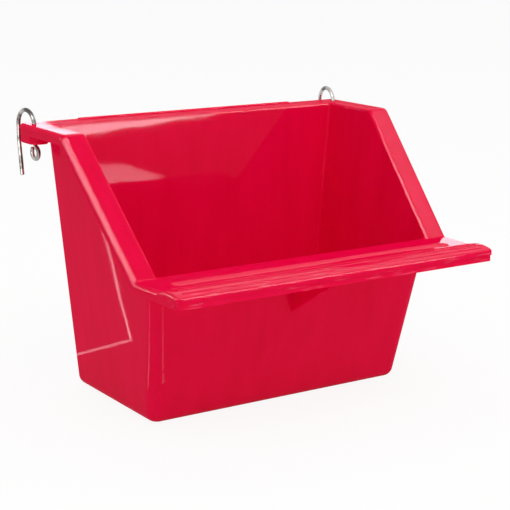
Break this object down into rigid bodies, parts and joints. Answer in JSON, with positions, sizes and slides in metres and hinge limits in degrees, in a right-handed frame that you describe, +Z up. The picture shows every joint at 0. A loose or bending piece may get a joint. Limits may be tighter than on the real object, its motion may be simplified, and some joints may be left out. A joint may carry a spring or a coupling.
{
  "type": "hanging bird bowl",
  "caption": "Deep moulded bird bowl with a sloping open front, a wide perch ledge and wire hooks that swivel to hang it on cage bars.",
  "frame": {"origin": "middle of the flat base, between the walls' feet", "axes": "+Z up out of the mouth, -Y towards the perch, +Y towards the cage bars, +X to the right seen from the perch"},
  "size_m": [0.1414, 0.1148, 0.1055],
  "materials": {
    "red_plastic": "glossy moulded plastic",
    "plated_wire": "bright plated steel wire"
  },
  "bodies": {
    "bowl": {"bowl": "red_plastic"},
    "hook_left": {"hook_left": "plated_wire"},
    "hook_right": {"hook_right": "plated_wire"}
  },
  "joints": [
    {"name": "left_swivel", "type": "hinge", "parent": "bowl", "child": "hook_left", "pos_m": [-0.06666, 0.0323, 0.0972], "axis": [0, 0, 1], "range_deg": [-55, 145]},
    {"name": "right_swivel", "type": "hinge", "parent": "bowl", "child": "hook_right", "pos_m": [0.06666, 0.0323, 0.0972], "axis": [0, 0, 1], "range_deg": [-145, 55]}
  ]
}
